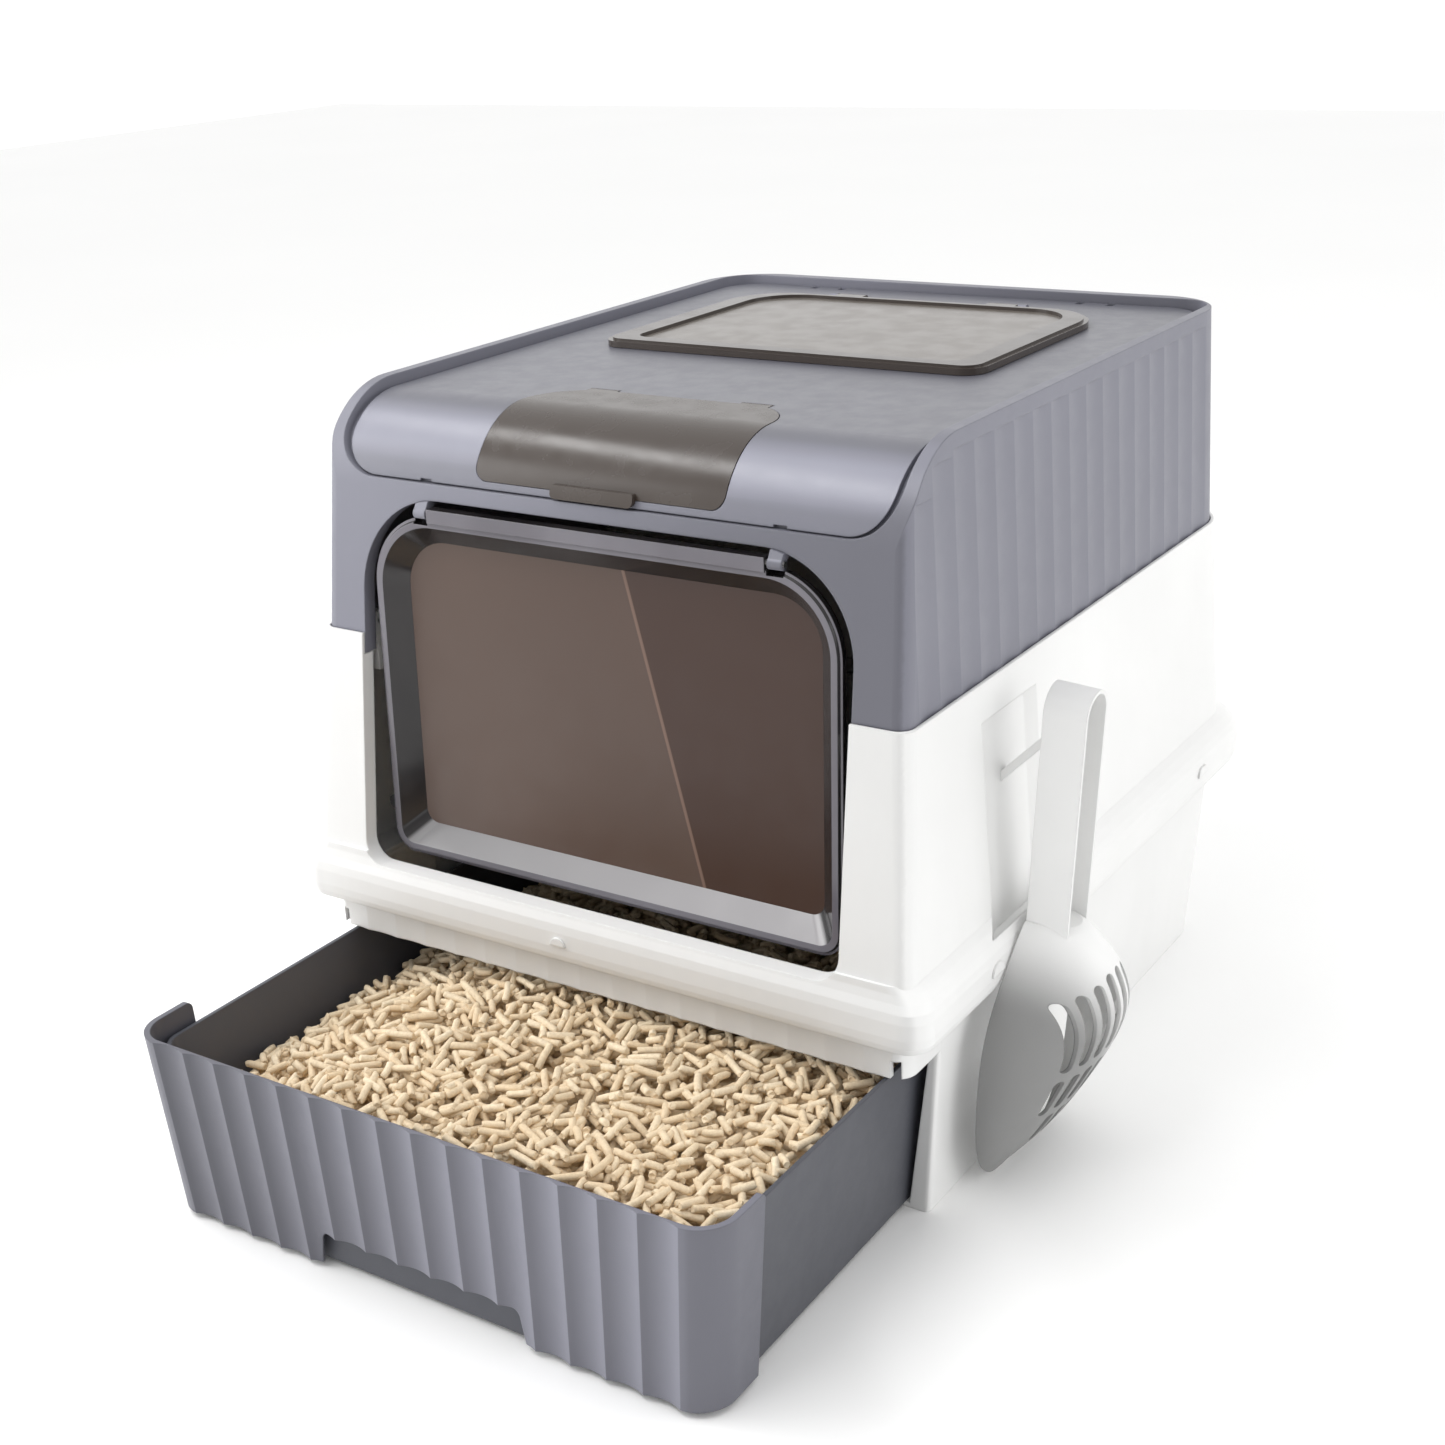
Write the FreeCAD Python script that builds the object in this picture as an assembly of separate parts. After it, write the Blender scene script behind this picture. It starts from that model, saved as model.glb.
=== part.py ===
"""Hooded cat litter box: open-fronted base, middle ring, fluted hood with a flip-up lid, and litter drawer.

Frame: +Z up, -Y out of the front (where the drawer pulls out), +X to the side that carries the scoop.
The origin is the centre of the base's underside. Everything is in millimetres.
Rest position: the drawer stands open, the door hangs closed, and the lid, window and hatch are shut.
"""
import FreeCAD, Part
import math
import os

from FreeCAD import Vector

# ---- driving dimensions -------------------------------------------------------------------------
SEAM_Z = 289.0          # where the grey hood meets the white middle ring
TOP_Z = 423.0           # top of the rim round the hood
SEAM_HALF_W = 190.0     # hood half width at the seam
SEAM_FRONT = -223.0     # hood front face at the seam
REAR = 222.0            # hood rear face, upright
REAR_R = 44.0           # plan radius of the rear corners
LEAN_FRONT = 0.13       # the front faces lean back this much for each mm of height
LEAN_HOOD = 0.035       # hood sides lean in
LEAN_MID = 0.06         # sides of the middle ring lean in
WALL = 2.4              # usual moulded wall
PITCH = 22.7            # flute pitch on the drawer front and the hood sides

BASE_BOTTOM_HALF_W = 188.2
LEAN_BASE = 0.0713      # base sides lean out
BASE_FRONT, BASE_REAR = -201.4, 202.0
BASE_TOP_Z = 136.0      # hidden under the skirt
RAIL_HALF_W, RAIL_FRONT, RAIL_BOTTOM_Z = 195.4, -237.5, 102.5

SKIRT_HALF_W, SKIRT_FRONT, SKIRT_REAR = 210.3, -248.2, 238.5
SKIRT_BOTTOM_Z, SKIRT_TOP_Z = 124.2, 160.0

DOORWAY_HALF_W, DOORWAY_TOP_Z, DOORWAY_SILL_Z = 159.5, 369.0, 153.0
DOORWAY_TOP_R, DOORWAY_SILL_R = 55.0, 14.0

DOOR_HALF_W, DOOR_TOP_Z, DOOR_BOTTOM_Z = 152.0, 360.5, 155.5
DOOR_TILT = math.degrees(math.atan(0.04))
DOOR_AXIS_Y, DOOR_AXIS_Z = -214.6, 362.0
DOOR_FRONT_Y = -215.2   # front of the door flange at the height of its hinge axis

LID_HALF_W, LID_REAR, LID_FRONT_Z = 173.6, 211.6, 378.8
LID_THICK = 2.5
LID_AXIS_Y, LID_AXIS_Z = 208.0, 414.4
LID_EAR_X = (-112.0, -90.7, 86.7, 108.0)     # the hinge ears, each 4 wide
POCKET_HALF_W, POCKET_REAR = 178.3, 213.6    # the hollow in the hood's top that the lid lies in
WINDOW_HALF_W, WINDOW_REAR, WINDOW_FRONT_Z = 80.0, -128.0, 383.0
WINDOW_AXIS_Y, WINDOW_AXIS_Z = -125.4, 416.2
HATCH_HALF_W, HATCH_FRONT, HATCH_REAR = 129.0, -23.0, 160.5
HATCH_AXIS_Y, HATCH_AXIS_Z = 163.9, 420.4

DRAWER_TRAVEL = 142.0   # how far the drawer stands open at rest
TUB_FRONT, TUB_REAR, TUB_TOP_Z, TUB_FLOOR_Z = -396.0, 36.0, 100.5, 3.4
TUB_TOP_HALF_W, TUB_BOTTOM_HALF_W = 183.0, 174.3
FACADE_RIDGE_Y, FACADE_TOP_Z, FACADE_BOTTOM_Z = -407.5, 111.6, 3.9
FACADE_TOP_HALF_W, FACADE_BOTTOM_HALF_W, FACADE_RETURN_Y = 190.0, 181.0, -364.0
LITTER_TOP_Z = 87.0

SCOOP_Y, SCOOP_MOUTH_X, SCOOP_TIP_Z = -119.5, 202.4, 4.0
RECESS_Y = -116.0
SCOOP_LEAN = math.degrees(math.atan(0.068))
PEG_X, PEG_Z = 204.0, 240.5     # middle of the inclined peg that the scoop hangs on

ORIGIN = Vector(0, 0, 0)
X_AXIS, Y_AXIS, Z_AXIS = Vector(1, 0, 0), Vector(0, 1, 0), Vector(0, 0, 1)


# ---- helpers --------------------------------------------------------------------------------------
def box(low, high):
    size = [b - a for a, b in zip(low, high)]
    return Part.makeBox(size[0], size[1], size[2], Vector(*low))


def cylinder(radius, start, end):
    axis = Vector(*end) - Vector(*start)
    return Part.makeCylinder(radius, axis.Length, Vector(*start), axis)


def corner_arc(centre, radius, start_deg, place):
    """A quarter arc in the plane that place() maps to space."""
    points = [place(centre[0] + radius * math.cos(math.radians(start_deg + turn)),
                    centre[1] + radius * math.sin(math.radians(start_deg + turn))) for turn in (0, 45, 90)]
    return Part.Arc(*points).toShape()


def rounded_wire(low, high, radii, place):
    """A rectangle with rounded corners. radii are for the corners (+,+), (-,+), (-,-) and (+,-)."""
    (x0, y0), (x1, y1) = low, high
    signs = [(1, 1), (-1, 1), (-1, -1), (1, -1)]
    arcs = []
    for index, (sign_x, sign_y) in enumerate(signs):
        radius = radii[index]
        centre = ((x1 if sign_x > 0 else x0) - sign_x * radius, (y1 if sign_y > 0 else y0) - sign_y * radius)
        arcs.append(corner_arc(centre, radius, 90 * index, place))
    edges = []
    for index, arc in enumerate(arcs):
        following = arcs[(index + 1) % 4]
        edges += [arc, Part.makeLine(arc.lastVertex(True).Point, following.firstVertex(True).Point)]
    return Part.Wire(edges)


def plan_outline(z, half_w, front, rear, front_r, rear_r):
    """A closed plan outline at height z, symmetrical about X = 0."""
    return rounded_wire((-half_w, front), (half_w, rear), (rear_r, rear_r, front_r, front_r),
                        lambda x, y: Vector(x, y, z))


def stack(sections):
    """A ruled solid through plan outlines, each given as (z, half_w, front, rear, front_r, rear_r)."""
    return Part.makeLoft([plan_outline(*section) for section in sections], True, True)


def plan_prism(low, high, radii, z0, z1):
    wire = rounded_wire(low, high, radii, lambda x, y: Vector(x, y, z0))
    return Part.Face(wire).extrude(Vector(0, 0, z1 - z0))


def front_prism(low, high, radii, y0, y1):
    """An outline drawn in the front view (X, Z) and extruded back from y0 to y1."""
    wire = rounded_wire(low, high, radii, lambda x, z: Vector(x, y0, z))
    return Part.Face(wire).extrude(Vector(0, y1 - y0, 0))


def front_y(z):
    """Where the leaning front face of the hood is at height z."""
    return SEAM_FRONT + LEAN_FRONT * (z - SEAM_Z)


def side_profile(front_offset, top_offset, radius, rear=400.0, bottom=200.0, half_w=300.0):
    """Everything inside the hood's side profile: a leaning front, a round shoulder and a flat top."""
    slope = math.hypot(1, LEAN_FRONT)
    top = TOP_Z - top_offset
    centre_z = top - radius
    centre_y = SEAM_FRONT + (radius + front_offset) * slope + LEAN_FRONT * (centre_z - SEAM_Z)
    on_front = Vector(-half_w, centre_y - radius / slope, centre_z + radius * LEAN_FRONT / slope)
    half_turn = (math.pi / 2 + math.atan(LEAN_FRONT)) / 2
    middle = Vector(-half_w, centre_y - radius * math.sin(half_turn), centre_z + radius * math.cos(half_turn))
    on_top = Vector(-half_w, centre_y, top)
    foot = Vector(-half_w, front_y(bottom) + front_offset * slope, bottom)
    back_top, back_foot = Vector(-half_w, rear, top), Vector(-half_w, rear, bottom)
    edges = [Part.makeLine(foot, on_front), Part.Arc(on_front, middle, on_top).toShape(),
             Part.makeLine(on_top, back_top), Part.makeLine(back_top, back_foot),
             Part.makeLine(back_foot, foot)]
    return Part.Face(Part.Wire(edges)).extrude(Vector(2 * half_w, 0, 0))


def save(name, shape):
    if len(shape.Solids) == 1:
        shape = shape.Solids[0]
    shape.exportStep(f"parts/{name}.step")
    volume = shape.Volume / 1000
    print(f"{name:22s} solids {len(shape.Solids)} valid {shape.isValid()} volume {volume:9.1f} cm3")


# ---- base -----------------------------------------------------------------------------------------
def base_section(z, inset, front):
    return (z, BASE_BOTTOM_HALF_W + LEAN_BASE * z - inset, front, BASE_REAR + LEAN_BASE * z - inset,
            3.0, 33.0 - inset)


def base_tub():
    """The white tub: floor, three leaning walls, a front flange each side, and the rail over the drawer."""
    outer = stack([base_section(0, 0, BASE_FRONT), base_section(BASE_TOP_Z, 0, BASE_FRONT)])
    inner = stack([base_section(3, 2.6, BASE_FRONT + 2.6),
                   base_section(BASE_TOP_Z + 1, 2.6, BASE_FRONT + 2.6)])
    mouth_low, mouth_high, mouth_top = 176.6, 194.2, BASE_TOP_Z + 1
    corners = [(-mouth_low, 3), (mouth_low, 3), (mouth_high, mouth_top), (-mouth_high, mouth_top),
               (-mouth_low, 3)]
    mouth = Part.Face(Part.makePolygon([Vector(x, BASE_FRONT - 5, z) for x, z in corners]))
    shell = outer.cut(inner).cut(mouth.extrude(Vector(0, 12, 0)))

    rail_t, ledge_t = 4.0, 3.0
    rail_outline = (RAIL_HALF_W, RAIL_FRONT, 190.0, 12.0, 20.0)
    rail = stack([(RAIL_BOTTOM_Z,) + rail_outline, (BASE_TOP_Z,) + rail_outline])
    hollow_outline = (RAIL_HALF_W - rail_t, RAIL_FRONT + rail_t, 186.0, 8.0, 16.0)
    hollow = stack([(RAIL_BOTTOM_Z - 1,) + hollow_outline, (BASE_TOP_Z + 1,) + hollow_outline])
    band = rail.cut(hollow).common(box((-300, -300, 0), (300, -150, 300)))
    gate_z = FACADE_TOP_Z + 1
    side_gates = [box((x, -245, 90), (x + 5.4, -190, gate_z)) for x in (-191.0, 185.6)]
    flute_r, flute_depth = 80.0, 0.8
    flute_y = RAIL_FRONT - flute_r + flute_depth
    flutes = [cylinder(flute_r, (x, flute_y, RAIL_BOTTOM_Z - 1), (x, flute_y, BASE_TOP_Z + 1))
              for x in [step * PITCH for step in range(-8, 9)]]
    band = band.cut(side_gates + flutes)
    ledge_hole = stack([(BASE_TOP_Z - 5, 181.5, RAIL_FRONT + rail_t, 198, 13, 16),
                        (BASE_TOP_Z + 1, 181.5, RAIL_FRONT + rail_t, 198, 13, 16)])
    ledge_slab = box((-300, -300, BASE_TOP_Z - ledge_t), (300, 300, BASE_TOP_Z))
    ledge = outer.fuse(rail).common(ledge_slab).cut(ledge_hole)
    return shell.fuse([band, ledge]).removeSplitter()


def base_rails():
    """Two low guides on the base floor that keep the drawer straight."""
    return Part.makeCompound([box((min(x, x + s * 2.4), -194, 3.0), (max(x, x + s * 2.4), 172, 9.0))
                              for x, s in ((176.3, 1), (-176.3, -1))])


# ---- middle ring ----------------------------------------------------------------------------------
def mid_section(z, inset):
    half_w = SEAM_HALF_W + 2.5 + LEAN_MID * (SEAM_Z - z) - inset
    front, rear = front_y(z) - 2.5 + inset, REAR + 2.5 - inset
    return (z, half_w, front, rear, 9.0 - inset / 2, REAR_R + 2.5 - inset)


def skirt_section(z, step_in, inset=0.0):
    front = SKIRT_FRONT + min(step_in, 4.0) + inset
    rear = SKIRT_REAR - 1.4 * step_in - inset
    return (z, SKIRT_HALF_W - step_in - inset, front, rear, 14.0 - inset, REAR_R + 2.0 - inset)


def scoop_recess(grow, top_z):
    """A shallow upright hollow in the right wall for the scoop's handle, with sloping flanks."""
    z0 = 146.0 - 3 * (grow > 0)
    wall_x = SEAM_HALF_W + 2.5 + LEAN_MID * (SEAM_Z - z0)
    depth = 4.0 + grow
    outline = [(6, 46 + grow), (6, -46 - grow), (-depth, -25 - grow), (-depth, 25 + grow), (6, 46 + grow)]
    face = Part.Face(Part.makePolygon([Vector(wall_x + u, RECESS_Y + v, z0) for u, v in outline]))
    rise = top_z - z0
    return face.extrude(Vector(-LEAN_MID * rise, 0, rise))


def doorway(y0=-300.0, y1=-180.0, grow=0.0):
    """The arched way in, through hood and middle ring."""
    top_r, sill_r = DOORWAY_TOP_R + grow, DOORWAY_SILL_R + grow
    low = (-DOORWAY_HALF_W - grow, DOORWAY_SILL_Z - grow)
    high = (DOORWAY_HALF_W + grow, DOORWAY_TOP_Z + grow)
    return front_prism(low, high, (top_r, top_r, sill_r, sill_r), y0, y1)


def doorway_lip(z0, z1, offset):
    """The return edge round the doorway: it runs back from the front face."""
    ring = doorway(grow=2.2).cut(doorway(y0=-310, y1=-170))
    front_slab = side_profile(offset, 0, 55, bottom=100).cut(side_profile(offset + 9, 9, 46, bottom=90))
    return ring.common(front_slab).common(box((-300, -300, z0), (300, -150, z1)))


def mid_shell():
    """The white ring: a skirt over the base's edge, leaning walls, the doorway, and the hood's ledge."""
    wall_t = 2.0
    seam_top = SEAM_Z - 0.4
    wall = stack([mid_section(150, 0), mid_section(seam_top, 0)])
    skirt = stack([skirt_section(SKIRT_BOTTOM_Z, 2.0), skirt_section(128, 0.7), skirt_section(133, 0),
                   skirt_section(142, 0), skirt_section(147, 0.8), skirt_section(151.5, 2.8),
                   skirt_section(156, 6.2), skirt_section(SKIRT_TOP_Z, 10.6)])
    outer = wall.fuse(skirt).cut(scoop_recess(0, 268))
    under = stack([skirt_section(SKIRT_BOTTOM_Z - 1, 2.0, WALL), skirt_section(133, 0, WALL),
                   skirt_section(BASE_TOP_Z + 0.3, 0, WALL)])
    flange = stack([(BASE_TOP_Z, 181.2, -233.3, 196, 13, 16), (140, 181.2, -233.3, 196, 13, 16)])
    hollow = stack([mid_section(139, wall_t), mid_section(SEAM_Z + 1, wall_t)])
    ledge_z = 273.0
    ledge = hollow.common(box((-300, -300, ledge_z), (300, 300, ledge_z + 3)))
    opening = (186.2, -220, REAR - 3.5, 6, REAR_R - 3)
    ledge = ledge.cut(stack([(ledge_z - 1,) + opening, (ledge_z + 4,) + opening]))
    hollow = hollow.cut(scoop_recess(2.4, 270.5))
    shell = outer.cut([under, flange, hollow]).fuse([ledge, doorway_lip(140, 276.2, -2.4)])
    open_above = box((-DOORWAY_HALF_W, -240, 200), (DOORWAY_HALF_W, -205, 300))
    return shell.cut([doorway(), open_above]).removeSplitter()


def skirt_snap_tabs():
    """Five half-moon snap tabs that lock the skirt to the base: one at the front, two on each side."""
    tabs = [cylinder(5.0, (-16, SKIRT_FRONT, 134.5), (-16, SKIRT_FRONT - 1.4, 134.5)).common(
        box((-24, -260, 134.5), (-8, -240, 142)))]
    for side in (1, -1):
        for y, z in ((-163.0, 134.5), (135.0, 136.0)):
            disc = cylinder(7.0, (side * SKIRT_HALF_W, y, z), (side * (SKIRT_HALF_W + 1.2), y, z))
            tabs.append(disc.common(box((-220, y - 9, z), (220, y + 9, 142))))
    return Part.makeCompound(tabs)


def seam_lugs():
    """Two small lugs on the doorway jambs that steady the hood on the middle ring."""
    lugs = []
    for side in (1, -1):
        x0, x1 = sorted((side * 161.8, side * 166.5))
        plate = box((x0, -212, 262), (x1, -203, 297))
        lugs.append(plate.cut(cylinder(1.8, (side * 155, -207.5, 291), (side * 170, -207.5, 291))))
    return Part.makeCompound(lugs)


def scoop_peg():
    """The inclined peg on the right wall: the scoop's web slides on to it, down and in."""
    half_l, half_t, half_w = 24.5, 2.2, 3.4
    bar = box((-half_l, -half_w, -half_t), (half_l, half_w, half_t))
    bar.rotate(ORIGIN, Y_AXIS, -45)
    bar.translate(Vector(PEG_X + 3.0, SCOOP_Y, PEG_Z + 3.0))
    wall_face = stack([mid_section(150, 4.0), mid_section(SEAM_Z, 4.0)])
    return bar.cut(wall_face)


# ---- hood -----------------------------------------------------------------------------------------
def hood_section(z, inset):
    above = max(z - SEAM_Z, 0.0)
    half_w, front = SEAM_HALF_W - LEAN_HOOD * above - inset, SEAM_FRONT + LEAN_FRONT * above + inset
    return (z, half_w, front, REAR - inset, 8.0 - inset / 2, REAR_R - inset)


def hood_flutes():
    """Shallow round-bottomed flutes up both sides of the hood, to just under the rim."""
    depth, radius, rim_h = 0.9, 64.0, 6.5
    shoulder_y, shoulder_r = -157.3, 55.0
    flutes = []
    for side in (1, -1):
        for index in range(17):
            y = -198.0 + index * PITCH
            before = max(shoulder_y - y, 0.0)
            top_z = TOP_Z - shoulder_r + math.sqrt(shoulder_r ** 2 - before ** 2) - rim_h
            foot_x = side * (SEAM_HALF_W - depth + radius)
            start = Vector(foot_x + side * LEAN_HOOD * 3, y, SEAM_Z - 3)
            end = Vector(foot_x - side * LEAN_HOOD * (top_z - SEAM_Z), y, top_z)
            flutes.append(Part.makeCylinder(radius, (end - start).Length, start, end - start))
    return flutes


def pocket_plan(z0, z1):
    return plan_prism((-POCKET_HALF_W, -320), (POCKET_HALF_W, POCKET_REAR), (20, 20, 4, 4), z0, z1)


def lid_pocket():
    """The recess in the hood's top, open at the front shoulder, that the lid lies in."""
    under_seat = side_profile(4.4, 8.4, 47.1, rear=450, bottom=100)
    above_seat = box((-185, -300, 300), (185, 300, 500)).cut(under_seat)
    low, high = (-POCKET_HALF_W, LID_FRONT_Z - 0.8), (POCKET_HALF_W, 520)
    return above_seat.common(pocket_plan(300, 500)).common(front_prism(low, high, (4, 4, 27, 27), -320, 320))


def hinge_channel(radius):
    """A round channel along the lid's hinge axis, where the lid's rear edge swings down."""
    half_l = POCKET_HALF_W + 2
    return cylinder(radius, (-half_l, LID_AXIS_Y, LID_AXIS_Z), (half_l, LID_AXIS_Y, LID_AXIS_Z))


def hood_shell():
    """The grey hood: fluted sides, the arched doorway, the rim, and the seat that the lid closes on."""
    foot_z, top = 276.4, TOP_Z + 7
    outer = stack([hood_section(foot_z, 0), hood_section(SEAM_Z, 0), hood_section(top, 0)])
    below_seam = box((-300, -300, 200), (300, 400, SEAM_Z))
    outer = outer.common(side_profile(0, 0, 55, bottom=SEAM_Z).fuse(below_seam))
    outer = outer.cut(Part.makeCompound(hood_flutes()))
    inside = stack([hood_section(foot_z - 1, WALL), hood_section(SEAM_Z, WALL), hood_section(top, WALL)])
    cavity = inside.common(side_profile(6.8, 10.8, 44.7, bottom=200)).fuse(
        inside.common(box((-300, -300, 200), (300, 400, 371))))
    seat_hole = plan_prism((-164.5, -194), (164.5, 198), (22, 22, 30, 30), 380, 500)
    shell = outer.cut([cavity, lid_pocket(), seat_hole])
    seat_z = TOP_Z - 8.4
    trough = hinge_channel(7.3).common(outer).common(box((-300, 150, 380), (300, 300, seat_z)))
    shell = shell.fuse([doorway_lip(foot_z + 0.2, 380, 0.0), trough])
    return shell.cut([doorway(), hinge_channel(5.1).common(pocket_plan(380, 500))]).removeSplitter()


def door_hinge_clips():
    """Two clips inside the hood that hold the ends of the door's hinge rod."""
    clips = []
    for side in (1, -1):
        x0, x1 = sorted((side * 110.4, side * 118.6))
        ring = cylinder(3.2, (x0, DOOR_AXIS_Y, DOOR_AXIS_Z), (x1, DOOR_AXIS_Y, DOOR_AXIS_Z))
        outline = [(-216.4, 364.5), (-213.0, 370), (-206, 370), (-206, 367.4), (-211.8, 363.0)]
        outline.append(outline[0])
        face = Part.Face(Part.makePolygon([Vector(x0, y, z) for y, z in outline]))
        clip = ring.fuse(face.extrude(Vector(x1 - x0, 0, 0))).common(doorway())
        bore = cylinder(1.8, (x0 - 1, DOOR_AXIS_Y, DOOR_AXIS_Z), (x1 + 1, DOOR_AXIS_Y, DOOR_AXIS_Z))
        clips.append(clip.cut(bore))
    return Part.makeCompound(clips)


# ---- door -----------------------------------------------------------------------------------------
def hang(shape):
    """Takes a door piece, modelled upright with its flange front at DOOR_FRONT_Y, to its hanging tilt."""
    shape.rotate(Vector(0, DOOR_FRONT_Y, DOOR_AXIS_Z), X_AXIS, -DOOR_TILT)
    return shape


def door_outline(inset, y, top_r=44.0, bottom_r=14.0, low_extra=0.0, top_extra=0.0):
    low = (-DOOR_HALF_W + inset, DOOR_BOTTOM_Z + inset + low_extra)
    high = (DOOR_HALF_W - inset, DOOR_TOP_Z - inset - top_extra)
    return rounded_wire(low, high, (top_r, top_r, bottom_r, bottom_r), lambda x, z: Vector(x, y, z))


def door_loft(*sections):
    return Part.makeLoft([door_outline(*section) for section in sections], True, True)


def door_frame():
    """The smoked frame: a flat flange, a raised bead, a bevel that runs in to the pane, and the hinge bar."""
    y = DOOR_FRONT_Y
    plate = door_loft((0, y, 44, 14), (0.8, y + 5, 43, 13))
    bead = door_loft((2.2, y - 1.6, 42, 12), (1.2, y + 0.1, 43, 13))
    back_wall = door_loft((4.5, y + 4, 40, 10), (9.0, y + 13, 34, 8))
    bevel = door_loft((5.5, y - 2, 38.5, 9), (16.8, y + 9.5, 28, 8))
    behind = door_loft((16.8, y + 9.0, 28, 8), (16.8, y + 20, 28, 8))
    frame = plate.fuse([bead, back_wall]).cut([bevel, behind])
    bar = box((-109, DOOR_AXIS_Y - 3.4, DOOR_TOP_Z - 3), (109, DOOR_AXIS_Y + 3.4, DOOR_AXIS_Z + 3.4))
    frame = hang(frame).fuse(bar)
    bore = cylinder(1.8, (-120, DOOR_AXIS_Y, DOOR_AXIS_Z), (120, DOOR_AXIS_Y, DOOR_AXIS_Z))
    gates = [cylinder(6.5, (x, DOOR_AXIS_Y, DOOR_AXIS_Z), (x + 10, DOOR_AXIS_Y, DOOR_AXIS_Z))
             for x in (-119.5, 109.5)]
    return frame.cut([bore] + gates).removeSplitter()


def door_pane():
    """The flat smoked pane, welded into the back of the frame."""
    y = DOOR_FRONT_Y + 9.5
    return hang(door_loft((16.8, y, 28, 8), (16.8, y + 2.5, 28, 8)))


def door_hinge_rod():
    """The rod through the door's bar. It turns with the door in the hood's two clips."""
    inside_bar = cylinder(1.8, (-109, DOOR_AXIS_Y, DOOR_AXIS_Z), (109, DOOR_AXIS_Y, DOOR_AXIS_Z))
    journals = cylinder(1.74, (-119.4, DOOR_AXIS_Y, DOOR_AXIS_Z), (119.4, DOOR_AXIS_Y, DOOR_AXIS_Z))
    return inside_bar.fuse(journals)


def door_nubs():
    """A small dark stop nub on each edge of the door, low down."""
    nubs = []
    for side in (1, -1):
        nub = cylinder(4.5, (side * (DOOR_HALF_W - 0.2), DOOR_FRONT_Y + 0.6, 184),
                       (side * (DOOR_HALF_W - 0.2), DOOR_FRONT_Y + 4.2, 184))
        outside = box((DOOR_HALF_W - 0.2, -260, 150), (DOOR_HALF_W + 9, -180, 220))
        if side < 0:
            outside = outside.mirror(ORIGIN, X_AXIS)
        nubs.append(hang(nub.common(outside)))
    return Part.makeCompound(nubs).cut(door_frame())


# ---- lid, window and hatch --------------------------------------------------------------------------
def curved_sheet(front_offset, top_offset, radius, thickness):
    """A sheet of even thickness that follows the hood's side profile."""
    outer = side_profile(front_offset, top_offset, radius, bottom=300)
    offsets = (front_offset + thickness, top_offset + thickness)
    return outer.cut(side_profile(*offsets, radius - thickness, rear=450, bottom=290))


def window_outline(grow, y0=-320.0, y1=-110.0):
    """The window's lower end, drawn in the front view."""
    half_w = WINDOW_HALF_W + grow
    return front_prism((-half_w, WINDOW_FRONT_Z - grow), (half_w, 520), (4, 4, 8, 8), y0, y1)


def window_plan(grow):
    half_w = WINDOW_HALF_W + grow
    return plan_prism((-half_w, -320), (half_w, WINDOW_REAR + grow), (34, 34, 4, 4), 300, 500)


def lid_panel():
    """The grey lid: flat on top and rolled over the front shoulder, with openings for window and hatch."""
    sheet = curved_sheet(1.5, 5.5, 50, LID_THICK)
    sheet = sheet.common(plan_prism((-LID_HALF_W, -320), (LID_HALF_W, LID_REAR), (27, 27, 4, 4), 300, 500))
    sheet = sheet.common(front_prism((-LID_HALF_W, LID_FRONT_Z), (LID_HALF_W, 520),
                                     (4, 4, 23, 23), -320, 320))
    window_hole = window_outline(-7).common(window_plan(-7))
    rebate = window_outline(0.4).common(window_plan(0.4)).cut(side_profile(3.0, 7.0, 48.5, bottom=100))
    hatch_hole = plan_prism((-104, -4), (104, 147), (28, 28, 10, 10), 390, 500)
    notches = [box((x - 4, -260, LID_FRONT_Z - 2), (x + 4, -190, LID_FRONT_Z + 1.3)) for x in (-114, 114)]
    top = TOP_Z - 5.5
    ear_slots = [box((x - 0.4, LID_AXIS_Y - 3.8, 400), (x + 4.4, LID_REAR + 3, 440)) for x in LID_EAR_X]
    window_slots = [box((x, -136, 405), (x + 20, WINDOW_AXIS_Y + 1.9, 430)) for x in (-60, 40)]
    sheet = sheet.cut([window_hole, rebate, hatch_hole] + notches + ear_slots + window_slots)
    barrels = []
    for x0, x1 in ((-107.7, -91.3), (91.3, 107.7)):
        barrel = cylinder(2.4, (x0, LID_AXIS_Y, LID_AXIS_Z), (x1, LID_AXIS_Y, LID_AXIS_Z))
        barrels.append(barrel.fuse(box((x0, LID_AXIS_Y - 2.4, LID_AXIS_Z), (x1, LID_AXIS_Y + 2.4, top))))
    ears = []
    for x0, x1 in ((-72, -66), (66, 72)):
        ear = cylinder(2.6, (x0, HATCH_AXIS_Y, HATCH_AXIS_Z), (x1, HATCH_AXIS_Y, HATCH_AXIS_Z))
        foot = box((x0, HATCH_AXIS_Y - 2.6, top - 1), (x1, HATCH_AXIS_Y + 2.6, HATCH_AXIS_Z))
        ears.append(ear.fuse(foot))
    bores = [cylinder(1.06, (-130, LID_AXIS_Y, LID_AXIS_Z), (130, LID_AXIS_Y, LID_AXIS_Z)),
             cylinder(1.0, (-90, HATCH_AXIS_Y, HATCH_AXIS_Z), (90, HATCH_AXIS_Y, HATCH_AXIS_Z)),
             cylinder(0.7, (-64, WINDOW_AXIS_Y, WINDOW_AXIS_Z), (-36, WINDOW_AXIS_Y, WINDOW_AXIS_Z)),
             cylinder(0.7, (36, WINDOW_AXIS_Y, WINDOW_AXIS_Z), (64, WINDOW_AXIS_Y, WINDOW_AXIS_Z))]
    return sheet.fuse(barrels + ears).cut(bores).removeSplitter()


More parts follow.
